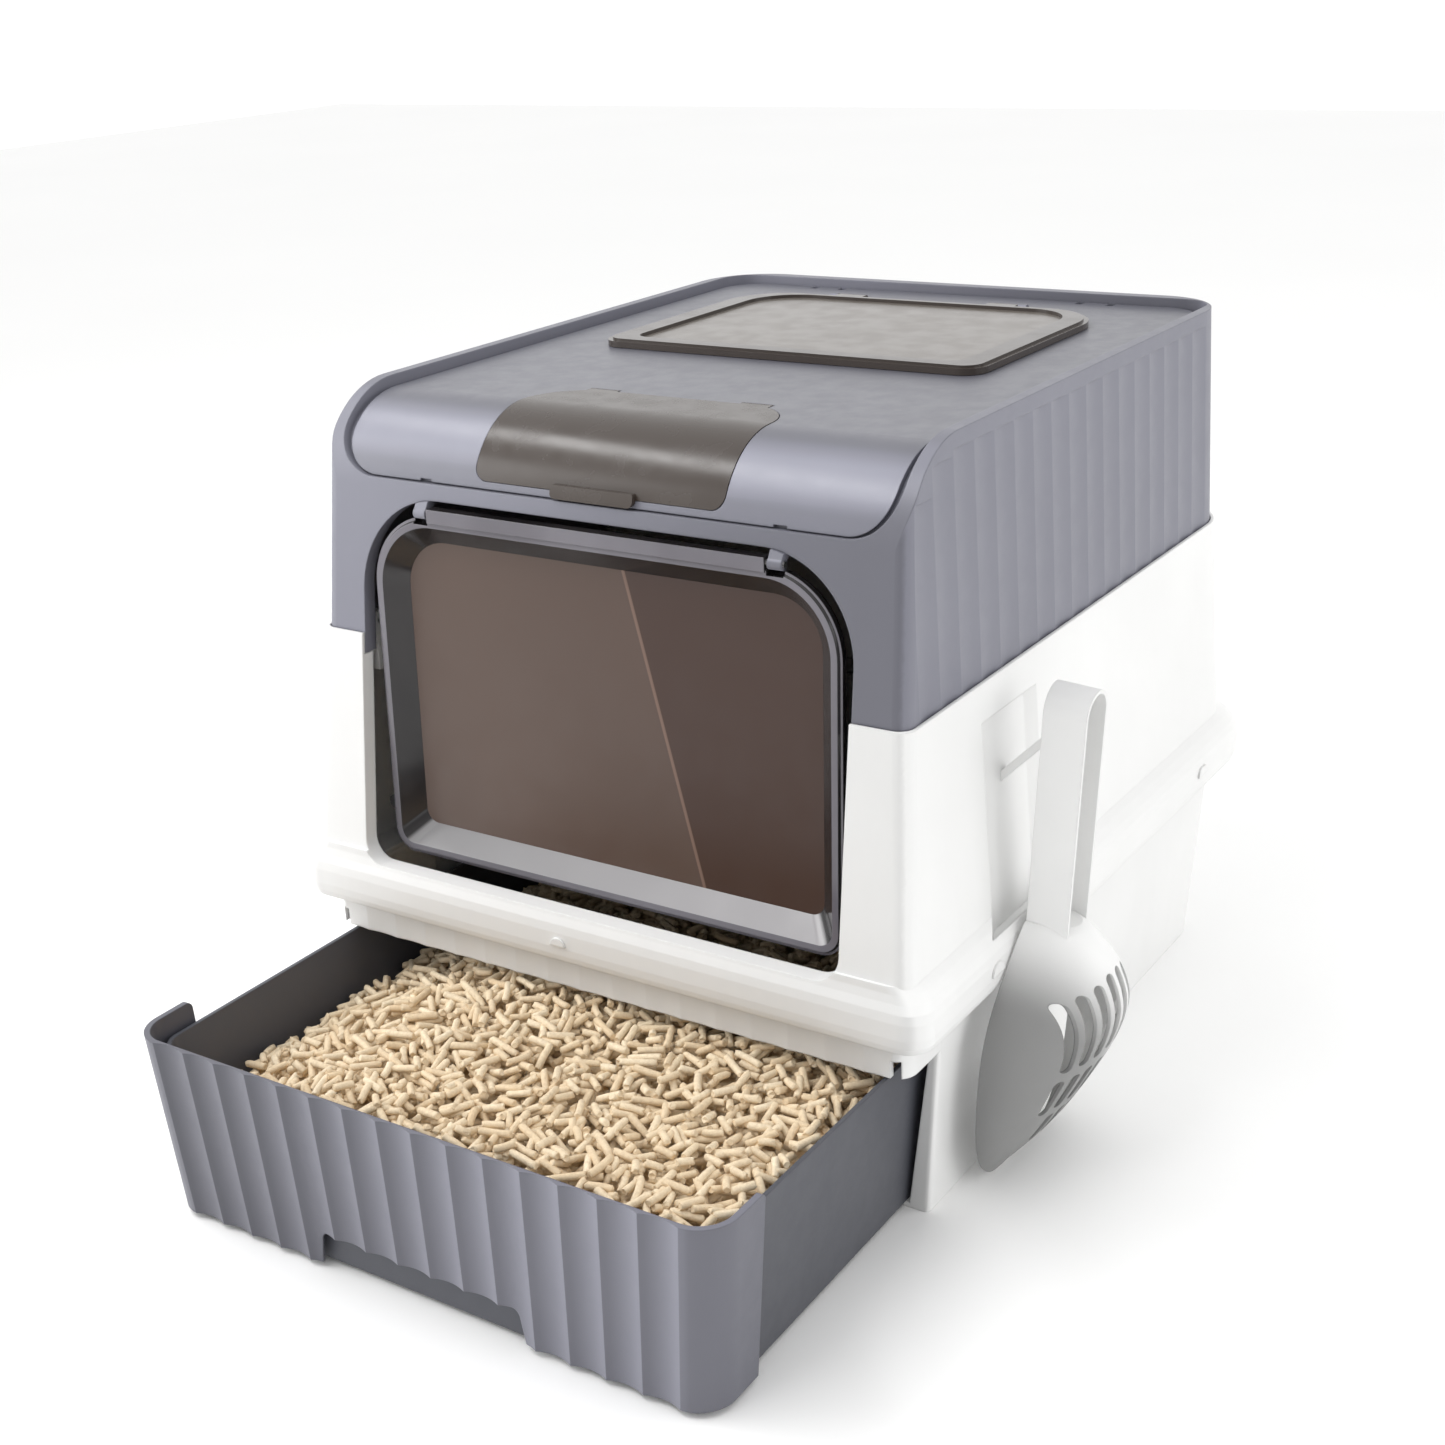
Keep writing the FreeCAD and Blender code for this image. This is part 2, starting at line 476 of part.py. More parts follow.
def lid_hinge_ears():
    """Four ears in the hood's hinge channel that carry the lid's pins."""
    ears = []
    for x in LID_EAR_X:
        ear = cylinder(2.4, (x, LID_AXIS_Y, LID_AXIS_Z), (x + 4, LID_AXIS_Y, LID_AXIS_Z))
        foot = box((x, LID_AXIS_Y - 2.4, LID_AXIS_Z - 8), (x + 4, LID_AXIS_Y + 2.4, LID_AXIS_Z))
        bore = cylinder(1.0, (x - 1, LID_AXIS_Y, LID_AXIS_Z), (x + 5, LID_AXIS_Y, LID_AXIS_Z))
        ears.append(ear.fuse(foot).common(hinge_channel(5.1)).cut(bore))
    return Part.makeCompound(ears)


def lid_hinge_pins():
    return Part.makeCompound([cylinder(1.0, (x, LID_AXIS_Y, LID_AXIS_Z), (x + 25.3, LID_AXIS_Y, LID_AXIS_Z))
                              for x in (-112, 86.7)])


def lid_window():
    """The smoked window: a curved sheet let into the lid's front, with two hinge barrels at its rear edge."""
    sheet = curved_sheet(1.3, 5.3, 50.2, 1.5).common(window_outline(0)).common(window_plan(0))
    barrels = []
    for x0, x1 in ((-59.7, -40.3), (40.3, 59.7)):
        barrel = cylinder(1.6, (x0, WINDOW_AXIS_Y, WINDOW_AXIS_Z), (x1, WINDOW_AXIS_Y, WINDOW_AXIS_Z))
        link = box((x0, WINDOW_REAR - 3, WINDOW_AXIS_Z), (x1, WINDOW_AXIS_Y, TOP_Z - 5.3))
        barrels.append(barrel.fuse(link))
    bore = cylinder(0.76, (-70, WINDOW_AXIS_Y, WINDOW_AXIS_Z), (70, WINDOW_AXIS_Y, WINDOW_AXIS_Z))
    return sheet.fuse(barrels).cut(bore).removeSplitter()


def window_hinge_pins():
    y, z = WINDOW_AXIS_Y, WINDOW_AXIS_Z
    return Part.makeCompound([cylinder(0.7, (x, y, z), (x + 28, y, z)) for x in (-64, 36)])


def window_pull_tab():
    """The finger tab along the lower edge of the window."""
    tab = front_prism((-26.5, LID_FRONT_Z + 0.6), (26.5, WINDOW_FRONT_Z + 3.4), (1.5, 1.5, 3, 3), -260, -150)
    return tab.common(side_profile(-1.8, 2.4, 53.3, bottom=300)).cut(side_profile(1.3, 5.3, 50.2, bottom=290))


def hatch_window(inset, z0, z1):
    """The clear opening inside the hatch's rim."""
    low = (-HATCH_HALF_W + 17 + inset, HATCH_FRONT + 13 + inset)
    high = (HATCH_HALF_W - 17 - inset, HATCH_REAR - 7 - inset)
    return plan_prism(low, high, (32 - inset, 32 - inset, 10 - inset, 10 - inset), z0, z1)


def hatch_frame():
    """The rear hatch's frame: a low rim round a recessed pane, with two hinge barrels at the rear."""
    seat = TOP_Z - 5.5 + 0.3
    low, high = (-HATCH_HALF_W, HATCH_FRONT), (HATCH_HALF_W, HATCH_REAR)
    rim = plan_prism(low, high, (40, 40, 14, 14), seat, seat + 3.6)
    inner_low, inner_high = (low[0] + 3, low[1] + 3), (high[0] - 3, high[1] - 3)
    shoulder = plan_prism(inner_low, inner_high, (37, 37, 11, 11), seat + 3.0, seat + 5)
    recess = hatch_window(0, seat + 1.2, seat + 9)
    hole = hatch_window(4, seat - 1, seat + 9)
    frame = rim.fuse(shoulder).cut([recess, hole])
    barrels = []
    for x0, x1 in ((-65.7, -45), (45, 65.7)):
        barrel = cylinder(2.4, (x0, HATCH_AXIS_Y, HATCH_AXIS_Z), (x1, HATCH_AXIS_Y, HATCH_AXIS_Z))
        link = box((x0, HATCH_REAR - 6, seat + 0.6), (x1, HATCH_AXIS_Y, HATCH_AXIS_Z + 2.3))
        barrels.append(barrel.fuse(link))
    bore = cylinder(1.06, (-90, HATCH_AXIS_Y, HATCH_AXIS_Z), (90, HATCH_AXIS_Y, HATCH_AXIS_Z))
    return frame.fuse(barrels).cut(bore).removeSplitter()


def hatch_pane():
    seat = TOP_Z - 5.5 + 0.3
    return hatch_window(0.2, seat + 1.2, seat + 3.0)


def hatch_hinge_pins():
    y, z = HATCH_AXIS_Y, HATCH_AXIS_Z
    return Part.makeCompound([cylinder(1.0, (x, y, z), (x + 27, y, z)) for x in (-72, 45)])


# ---- drawer -----------------------------------------------------------------------------------------
def tub_section(z, inset, floor_z=TUB_FLOOR_Z):
    lean = (TUB_TOP_HALF_W - TUB_BOTTOM_HALF_W) / (TUB_TOP_Z - floor_z)
    half_w = TUB_BOTTOM_HALF_W + lean * (z - floor_z) - inset
    return (z, half_w, TUB_FRONT + inset, TUB_REAR - inset, 15.0 - inset, 26.0 - inset)


def drawer_tub():
    """The grey litter tray, with a small bead round its top edge inside."""
    outer = stack([tub_section(TUB_FLOOR_Z, 0), tub_section(TUB_TOP_Z, 0)])
    inner = stack([tub_section(TUB_FLOOR_Z + WALL, WALL), tub_section(TUB_TOP_Z + 1, WALL)])
    return outer.cut(inner)


def facade_path(z, half_w, ridge_y, depth, inset):
    """The facade's plan line at one height: a return, a round corner, fifteen flutes, and back."""
    scale = half_w / FACADE_TOP_HALF_W
    corner_r = 22.0 * scale
    ridge_x = [(index - 7.5) * PITCH * scale for index in range(16)]
    face_y = ridge_y + inset
    side_x = half_w - inset
    bend_x, bend_y = ridge_x[-1], ridge_y + corner_r
    edges = [Part.makeLine(Vector(-side_x, FACADE_RETURN_Y, z), Vector(-side_x, bend_y, z))]
    mid_angle = math.radians(45)
    span_x, span_y = side_x - bend_x, bend_y - face_y
    middle = Vector(-(bend_x + span_x * math.cos(mid_angle)), bend_y - span_y * math.sin(mid_angle), z)
    edges.append(Part.Arc(Vector(-side_x, bend_y, z), middle, Vector(-bend_x, face_y, z)).toShape())
    for x0, x1 in zip(ridge_x, ridge_x[1:]):
        start, end = Vector(x0, face_y, z), Vector(x1, face_y, z)
        if depth:
            edges.append(Part.Arc(start, Vector((x0 + x1) / 2, face_y + depth, z), end).toShape())
        else:
            edges.append(Part.makeLine(start, end))
    middle = Vector(-middle.x, middle.y, z)
    edges.append(Part.Arc(Vector(bend_x, face_y, z), middle, Vector(side_x, bend_y, z)).toShape())
    edges.append(Part.makeLine(Vector(side_x, bend_y, z), Vector(side_x, FACADE_RETURN_Y, z)))
    return edges


def facade_wire(z, half_w, ridge_y):
    thickness, flute_depth = 3.4, 2.3
    outer = facade_path(z, half_w, ridge_y, flute_depth, 0.0)
    inner = facade_path(z, half_w, ridge_y, 0.0, thickness)
    ends = [(-half_w, -half_w + thickness), (half_w, half_w - thickness)]
    caps = [Part.makeLine(Vector(a, FACADE_RETURN_Y, z), Vector(b, FACADE_RETURN_Y, z)) for a, b in ends]
    return Part.Wire(Part.__sortEdges__(outer + inner + caps))


def drawer_facade():
    """The fluted drawer front with its side returns and hand notch, clipped to the tray by four ribs."""
    lean_y = 4.0
    bottom = facade_wire(FACADE_BOTTOM_Z, FACADE_BOTTOM_HALF_W, FACADE_RIDGE_Y + lean_y)
    top = facade_wire(FACADE_TOP_Z, FACADE_TOP_HALF_W, FACADE_RIDGE_Y)
    panel = Part.makeLoft([bottom, top], True, True)
    rib_outline = [(FACADE_RIDGE_Y + 6.4, 8), (TUB_FRONT, 8), (TUB_FRONT, 96), (FACADE_RIDGE_Y + 3.0, 96)]
    rib_outline.append(rib_outline[0])
    ribs = []
    for x in (-150, -90, 90, 150):
        rib_face = Part.Face(Part.makePolygon([Vector(x - 2, y, z) for y, z in rib_outline]))
        ribs.append(rib_face.extrude(Vector(4, 0, 0)))
    notch_z, foot_half_w, head_half_w = 24.0, 69.0, 65.5
    corners = [(-foot_half_w, 0), (foot_half_w, 0), (head_half_w, notch_z), (-head_half_w, notch_z)]
    corners.append(corners[0])
    notch = Part.Face(Part.makePolygon([Vector(x, -420, z) for x, z in corners])).extrude(Vector(0, 23.9, 0))
    upper = [edge for edge in notch.Edges
             if edge.BoundBox.XLength < 1e-6 and edge.BoundBox.ZMin > notch_z - 1]
    notch = notch.makeFillet(5.0, upper)
    rounded_end = [edge for edge in panel.Edges
                   if edge.BoundBox.XLength < 4 and edge.BoundBox.ZMin > FACADE_TOP_Z - 0.1
                   and edge.BoundBox.YMin > FACADE_RETURN_Y - 0.1]
    panel = panel.makeFillet(4.0, rounded_end)
    return panel.fuse(ribs).cut(notch)


def litter_bed():
    """The litter in the tray, as one plain block with the tray's taper."""
    gap = 0.3
    return stack([tub_section(TUB_FLOOR_Z + WALL + 0.1, WALL + gap), tub_section(LITTER_TOP_Z, WALL + gap)])


# ---- scoop ------------------------------------------------------------------------------------------
def place_scoop(shape):
    """Takes the scoop from its own frame (mouth at X = 0, tip at Z = 0) to where it hangs, leaning out."""
    shape.rotate(ORIGIN, Y_AXIS, SCOOP_LEAN)
    shape.translate(Vector(SCOOP_MOUTH_X, SCOOP_Y, SCOOP_TIP_Z))
    return shape


def bowl_wire(z, half_w, depth):
    """A half ellipse, flat along the mouth."""
    major, minor = max(half_w, depth), min(half_w, depth)
    ellipse = Part.Ellipse(ORIGIN, major, minor)
    arc = Part.Arc(ellipse, 0, math.pi).toShape()
    if depth > half_w:
        arc = Part.Arc(ellipse, -math.pi / 2, math.pi / 2).toShape()
    else:
        arc.rotate(ORIGIN, Z_AXIS, -90)
    arc.translate(Vector(0, 0, z))
    start, end = arc.Vertexes[0].Point, arc.Vertexes[-1].Point
    return Part.Wire([arc, Part.makeLine(end, start)])


def bowl(inset):
    """The bowl's outer or inner form: (height, half width, depth) sections from tip to shoulder."""
    sections = [(0, 35, 3), (8, 46, 9), (22, 55, 19.5), (42, 59.5, 31), (66, 60.5, 42.5), (90, 58, 51.5),
                (106, 52, 53.5), (120, 43, 49.5), (132, 32.5, 42.5), (142, 23, 35), (149, 15, 26)]
    wires = []
    for z, half_w, depth in sections:
        if inset:
            z += -1.0 if z == 0 else -inset * (z > 140)
        wires.append(bowl_wire(z, half_w - inset, max(depth - inset, 1.6)))
    return Part.makeLoft(wires, True, False)


def scoop():
    """The litter scoop: a slotted bowl and a deep channel handle with an arched top, moulded in one."""
    thickness, handle_w, handle_depth = 2.2, 27.0, 24.0
    top_z, foot_z = 283.0, 112.0
    half_w = handle_w / 2
    outer = bowl(0)
    inner = bowl(thickness)
    arch_z = top_z - half_w

    def channel(radius, x0, x1, z0):
        block = box((x0, -radius, z0), (x1, radius, arch_z))
        return block.fuse(cylinder(radius, (x0, 0, arch_z), (x1, 0, arch_z)))

    handle = channel(half_w, 0, handle_depth, foot_z)
    trough = channel(half_w - thickness, 2.0, handle_depth + 1, foot_z - 20)
    strips = handle.cut(trough)
    shell = outer.cut(inner)
    shell = shell.fuse(strips.cut(inner))
    slots = []
    for row_z0, row_z1, arch, positions in ((83, 128, 0.27, 4), (52, 76, 0.1, 4), (26, 46, 0.1, 3)):
        for index in range(positions):
            for side in (1, -1):
                y = side * (5.0 + 10.2 * index)
                low, high = (y - 3.3, row_z0 - 0.12 * abs(y)), (y + 3.3, row_z1 - arch * abs(y))
                outline = rounded_wire(low, high, (3.2, 3.2, 3.2, 3.2), lambda v, z: Vector(12, v, z))
                slots.append(Part.Face(outline).extrude(Vector(60, 0, 0)))
    shell = shell.cut(slots)
    web_z = (PEG_Z - SCOOP_TIP_Z) + 15.0
    shell = shell.cut(box((-3, -4.6, web_z - 7), (5, 4.6, web_z + 7)))
    return place_scoop(shell)


def main():
    os.makedirs("parts", exist_ok=True)
    makers = (base_tub, base_rails, mid_shell, skirt_snap_tabs, seam_lugs, scoop_peg, hood_shell,
              door_hinge_clips, lid_hinge_ears, lid_hinge_pins, door_frame, door_pane, door_hinge_rod,
              door_nubs, lid_panel, lid_window, window_hinge_pins, window_pull_tab, hatch_frame,
              hatch_pane, hatch_hinge_pins, drawer_tub, drawer_facade, litter_bed, scoop)
    for make in makers:
        save(make.__name__, make())


main()
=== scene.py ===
"""Looks for the hooded cat litter box: moulded plastic, smoked panes, wood pellets, floor and light."""
import bpy
import math
import numpy as np
from mathutils import Matrix, Vector


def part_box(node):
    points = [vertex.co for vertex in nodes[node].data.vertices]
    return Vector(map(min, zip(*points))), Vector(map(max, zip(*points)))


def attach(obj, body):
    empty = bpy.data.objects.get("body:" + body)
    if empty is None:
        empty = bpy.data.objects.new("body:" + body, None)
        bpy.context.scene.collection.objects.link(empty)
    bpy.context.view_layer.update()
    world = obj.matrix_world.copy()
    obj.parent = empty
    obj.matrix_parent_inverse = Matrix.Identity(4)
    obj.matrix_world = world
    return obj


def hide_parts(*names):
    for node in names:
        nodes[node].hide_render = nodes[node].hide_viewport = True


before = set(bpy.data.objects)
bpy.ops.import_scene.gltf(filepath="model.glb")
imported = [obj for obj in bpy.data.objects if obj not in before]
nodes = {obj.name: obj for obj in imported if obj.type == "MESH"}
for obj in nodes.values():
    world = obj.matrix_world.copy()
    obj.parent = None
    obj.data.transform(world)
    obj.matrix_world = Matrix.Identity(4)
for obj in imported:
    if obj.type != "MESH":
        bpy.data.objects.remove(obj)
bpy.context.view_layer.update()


# ---- material building blocks ------------------------------------------------------------------
class Mat:
    """A node material built around one Principled shader."""

    def __init__(self, name, **constants):
        self.mat = bpy.data.materials.new(name)
        self.mat.use_nodes = True
        self.tree = self.mat.node_tree
        self.shader = self.tree.nodes["Principled BSDF"]
        self.coords = self.node("ShaderNodeTexCoord")
        for key, value in constants.items():
            self.shader.inputs[key.replace("_", " ")].default_value = value

    def node(self, kind, inputs=None, **props):
        node = self.tree.nodes.new(kind)
        for key, value in props.items():
            setattr(node, key, value)
        for key, value in (inputs or {}).items():
            self.feed(node.inputs[key], value)
        return node

    def feed(self, socket, value):
        if isinstance(value, bpy.types.NodeSocket):
            self.tree.links.new(value, socket)
        else:
            socket.default_value = value

    def noise(self, scale, detail=2.0, rough=0.5, stretch=(1, 1, 1)):
        place = self.node("ShaderNodeMapping", {"Vector": self.coords.outputs["Object"],
                                                "Scale": stretch})
        inputs = {"Vector": place.outputs[0], "Scale": scale, "Detail": detail, "Roughness": rough}
        return self.node("ShaderNodeTexNoise", inputs).outputs["Fac"]

    def math(self, operation, a, b=0.0, c=0.0):
        node = self.node("ShaderNodeMath", operation=operation)
        for socket, value in zip(node.inputs, (a, b, c)):
            self.feed(socket, value)
        return node.outputs[0]

    def remap(self, value, low, high, to_low=0.0, to_high=1.0, smooth=True):
        kind = "SMOOTHSTEP" if smooth else "LINEAR"
        inputs = {"Value": value, "From Min": low, "From Max": high, "To Min": to_low, "To Max": to_high}
        return self.node("ShaderNodeMapRange", inputs, interpolation_type=kind, clamp=True).outputs["Result"]

    def mix(self, factor, a, b, blend="MIX"):
        node = self.node("ShaderNodeMix", data_type="RGBA", blend_type=blend)
        self.feed(node.inputs["Factor"], factor)
        for key, value in (("A", a), ("B", b)):
            socket = [s for s in node.inputs if s.name == key and s.type == "RGBA"][0]
            self.feed(socket, value if isinstance(value, bpy.types.NodeSocket) else (*value[:3], 1.0))
        return [s for s in node.outputs if s.type == "RGBA"][0]

    def position(self, axis):
        """One coordinate of the point in the object's own frame, in metres."""
        return self.node("ShaderNodeSeparateXYZ", {"Vector": self.coords.outputs["Object"]}).outputs[axis]

    def facing(self, axis):
        """One component of the surface's direction in the object's own frame."""
        return self.node("ShaderNodeSeparateXYZ", {"Vector": self.coords.outputs["Normal"]}).outputs[axis]

    def faces_front(self, low=0.70, high=0.95):
        return self.remap(self.math("MULTIPLY", self.facing("Y"), -1.0), low, high)

    def gloss(self, noise, low, high):
        """Uneven roughness between low and high."""
        self.feed(self.shader.inputs["Roughness"], self.remap(noise, 0.3, 0.7, low, high))

    def surface(self, height, distance, strength=1.0, edge=0.0):
        """Fine relief from a height value, with edges softened by edge metres."""
        bump = self.node("ShaderNodeBump", {"Height": height, "Distance": distance, "Strength": strength})
        if edge:
            bevel = self.node("ShaderNodeBevel", {"Radius": edge}, samples=6)
            self.feed(bump.inputs["Normal"], bevel.outputs[0])
        self.feed(self.shader.inputs["Normal"], bump.outputs[0])

    def use(self, *names):
        for name in names:
            for slot in nodes[name].material_slots:
                slot.material = self.mat


def shade(color, factor):
    return tuple(c * factor for c in color)


def moulded(name, color, rough, edge=0.0011, grain=1.0, spec=0.5, painted_light=None):
    """Satin moulded plastic: spark texture, slow colour drift, uneven gloss. An optional function paints
    light and shade into its colour by place.
    """
    m = Mat(name, IOR=1.49, Specular_IOR_Level=spec)
    drift = m.remap(m.noise(5.0, 3.0), 0.3, 0.7)
    flow = m.remap(m.noise(26.0, 4.0, 0.6, (1, 1, 0.25)), 0.35, 0.7)
    tone = m.mix(drift, shade(color, 0.965), shade(color, 1.03))
    tone = m.mix(m.math("MULTIPLY", flow, 0.35), tone, shade(color, 0.95))
    # painted light and shade, multiplied into the colour by place
    if painted_light:
        tone = m.mix(1.0, tone, painted_light(m), blend="MULTIPLY")
    m.feed(m.shader.inputs["Base Color"], tone)
    m.gloss(m.noise(70.0, 5.0, 0.65), rough - 0.03, rough + 0.04)
    spark = m.math("MULTIPLY", m.noise(1500.0, 3.0, 0.6), 0.22 * grain)
    m.surface(m.math("MULTIPLY_ADD", m.noise(9.0, 1.0), 1.6, spark), 0.00035, 0.55, edge)
    return m


GREY = (0.196, 0.197, 0.236)
DARK_GREY = (0.080, 0.083, 0.098)
WHITE = (0.86, 0.860, 0.852)


def hood_painted_shade(m):
    """Painted shade: paler at the front's left, deeper at its right and on the flat top."""
    # painted shade across the front faces, falling towards the right
    across = m.math("MULTIPLY", m.faces_front(), m.remap(m.position("X"), -0.14, 0.17))
    top = m.remap(m.facing("Z"), 0.90, 0.985, 0.0, 0.22)
    return m.math("SUBTRACT", m.math("MULTIPLY_ADD", across, -0.40, 1.05), top)


def lid_painted_highlight_and_shade(m):
    """Painted highlight on the rolled shoulder, painted shade on the flat top."""
    up = m.facing("Z")
    # painted highlight band on the shoulder, painted shade on the top
    shoulder = m.math("MULTIPLY", m.remap(up, 0.38, 0.62), m.remap(up, 0.96, 0.80))
    top = m.remap(up, 0.90, 0.985, 0.0, 0.24)
    return m.math("SUBTRACT", m.math("MULTIPLY_ADD", shoulder, 0.52, 0.87), top)


def drawer_painted_shade(m):
    """Painted shade: deeper at the left, and one flank of every flute (and any face turned to +X) deeper
    than the other.
    """
    across = m.remap(m.position("X"), -0.19, 0.12, 0.70, 1.08)
    return m.math("MULTIPLY", across, m.remap(m.facing("X"), -0.30, 0.30, 1.20, 0.74, smooth=False))


def white_painted_shade(m):
    """Painted shade: deeper on the front, most of all at its right."""
    across = m.remap(m.position("X"), -0.15, 0.17, 0.62, 1.0)
    return m.math("MULTIPLY_ADD", m.math("MULTIPLY", m.faces_front(), across), -0.20, 1.0)


def bowl_painted_shade(m):
    """Painted shade: deeper at the lower front of the scoop's bowl."""
    below = m.math("MULTIPLY", m.math("SUBTRACT", 0.100, m.position("Z")), 0.7)
    low = m.math("ADD", m.math("SUBTRACT", -0.112, m.position("Y")), below)
    return m.remap(low, -0.016, 0.045, 1.0, 0.30)


moulded("grey_hood", GREY, 0.42, painted_light=hood_painted_shade).use("hood_shell", "door_hinge_clips", "lid_hinge_ears")
moulded("grey_lid", shade(GREY, 0.98), 0.33, edge=0.0009, painted_light=lid_painted_highlight_and_shade).use("lid_panel")
moulded("grey_drawer_front", shade(GREY, 0.88), 0.44, painted_light=drawer_painted_shade).use("drawer_facade")
moulded("grey_drawer_tub", DARK_GREY, 0.46).use("drawer_tub")
moulded("white_shell", WHITE, 0.40, edge=0.0014, painted_light=white_painted_shade).use(
    "base_tub", "mid_shell", "skirt_snap_tabs", "base_rails", "seam_lugs")
moulded("white_scoop", shade(WHITE, 0.99), 0.45, edge=0.0009, grain=1.6, painted_light=bowl_painted_shade).use(
    "scoop", "scoop_peg")


def pin_steel():
    m = Mat("pin_steel", Metallic=1.0, IOR=2.5)
    m.feed(m.shader.inputs["Base Color"], m.mix(m.noise(300.0, 4.0), (0.42, 0.41, 0.40), (0.62, 0.61, 0.60)))
    m.gloss(m.noise(900.0, 4.0, 0.6, (0.05, 1, 1)), 0.22, 0.42)
    m.surface(m.noise(2500.0, 2.0, 0.5, (0.04, 1, 1)), 0.00004, 0.5)
    return m


pin_steel().use("lid_hinge_pins", "window_hinge_pins", "hatch_hinge_pins", "door_hinge_rod")


def soft_black():
    m = Mat("soft_black", IOR=1.5)
    m.feed(m.shader.inputs["Base Color"],
           m.mix(m.noise(120.0, 4.0), (0.012, 0.012, 0.013), (0.03, 0.03, 0.032)))
    m.gloss(m.noise(400.0, 3.0), 0.5, 0.7)
    m.surface(m.noise(2000.0, 2.0), 0.0001, 0.4, 0.0006)
    return m


soft_black().use("door_nubs")


def smoked_door():
    """Gloss smoked frame, near black: painted grey reflection on the front faces of flange and bar, and a
    paler painted reflection along the lower bevel.
    """
    m = Mat("smoked_door_frame", IOR=1.5)
    front = m.faces_front(0.80)
    streak = m.remap(m.noise(16.0, 2.0, 0.5, (1, 1, 0.4)), 0.3, 0.7)
    # grey on the front-facing faces: a painted reflection over the near-black smoked plastic
    flange = m.mix(streak, (0.118, 0.110, 0.128), (0.158, 0.150, 0.172))
    body = m.mix(streak, (0.010, 0.009, 0.010), (0.026, 0.023, 0.024))
    # the lower bevel's pale colour, changing from left to right, is a painted reflection of the light above
    low_bevel_painted_reflection = m.math("MULTIPLY", m.remap(m.facing("Z"), 0.45, 0.6), m.remap(m.position("Z"), 0.182, 0.176))
    tone = m.mix(front, body, flange)
    pale = m.mix(m.remap(m.position("X"), -0.15, 0.15), (0.25, 0.245, 0.25), (0.36, 0.35, 0.36))
    m.feed(m.shader.inputs["Base Color"], m.mix(low_bevel_painted_reflection, tone, pale))
    m.gloss(m.noise(45.0, 4.0), 0.10, 0.20)
    grain = m.math("MULTIPLY", m.noise(700.0, 2.0), 0.04)
    m.surface(m.math("ADD", m.noise(12.0, 1.0), grain), 0.0004, 0.35, 0.0010)
    return m


smoked_door().use("door_frame")


def smoked_sheet(name, light, rough, dark=None, foot=None, head=None):
    """Smoked brown sheet with faint flow lines. Given a dark colour, a painted reflection splits it: dark to
    the right of a line from foot to head (x, z), with a painted bright edge along the line.
    """
    m = Mat(name, IOR=1.49)
    tone = m.mix(m.remap(m.noise(7.0, 2.0, 0.5, (0.6, 1, 1)), 0.3, 0.7), light, shade(light, 0.90))
    if dark:
        # painted reflection: paler left of the line, fading to dark towards it, dark to its right
        slope = (head[0] - foot[0]) / (head[1] - foot[1])
        height = m.math("SUBTRACT", m.position("Z"), foot[1])
        line = m.math("SUBTRACT", m.position("X"), m.math("MULTIPLY_ADD", height, slope, foot[0]))
        right = m.remap(line, -0.0006, 0.0006)
        painted_light = m.remap(line, -0.13, 0.0, 0.0, 0.22)
        tone = m.mix(right, m.mix(painted_light, tone, dark), dark)
        # painted highlight along the edge of the painted reflection
        painted_reflection_edge = m.math("MULTIPLY", m.remap(line, -0.0016, -0.0006), m.remap(line, 0.0014, 0.0004))
        tone = m.mix(m.math("MULTIPLY", painted_reflection_edge, 0.55), tone, shade(light, 2.6))
    m.feed(m.shader.inputs["Base Color"], tone)
    m.gloss(m.noise(60.0, 4.0), rough - 0.03, rough + 0.05)
    grain = m.math("MULTIPLY", m.noise(900.0, 2.0), 0.01)
    m.surface(m.math("ADD", m.noise(8.0, 1.0), grain), 0.0004, 0.15)
    return m


# the door pane's diagonal split of pale and dark is a painted reflection
smoked_sheet("smoked_door_pane", (0.090, 0.055, 0.041), 0.32, dark=(0.038, 0.014, 0.007),
             foot=(0.061, 0.170), head=(0.014, 0.3435)).use("door_pane")
smoked_sheet("smoked_window", (0.052, 0.040, 0.033), 0.24).use("lid_window", "window_pull_tab")
smoked_sheet("smoked_hatch", (0.060, 0.048, 0.042), 0.17).use("hatch_frame")
smoked_sheet("smoked_hatch_pane", (0.135, 0.118, 0.102), 0.22).use("hatch_pane")


# ---- wood pellets ------------------------------------------------------------------------------
PELLET_RADIUS = 0.0021
PELLET_HALF_LENGTH = (0.0040, 0.0095)
PELLET_TRIES = 8200
SIDES = 8
STEEPEST = 0.5          # the most that a pellet may tilt
WALL_GAP = 0.0025       # clear of the tray's wall
CELL = 0.0011           # cell of the height map
BED_GRID = (60, 72)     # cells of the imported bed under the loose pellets
HOLLOW_DEPTH = 0.026    # how far the litter falls away at the tray's left


def wood_pellets():
    m = Mat("wood_pellets", IOR=1.45, Specular_IOR_Level=0.25)
    tint = m.node("ShaderNodeAttribute", attribute_name="tint").outputs["Fac"]
    fibre = m.remap(m.noise(420.0, 4.0, 0.7), 0.25, 0.75)
    tone = m.mix(tint, (0.76, 0.585, 0.375), (0.96, 0.83, 0.62))
    m.feed(m.shader.inputs["Base Color"],
           m.mix(m.math("MULTIPLY", fibre, 0.40), tone, (0.50, 0.35, 0.21)))
    m.gloss(m.noise(500.0), 0.60, 0.85)
    m.surface(m.noise(1100.0, 4.0, 0.65), 0.0006, 0.7)
    return m


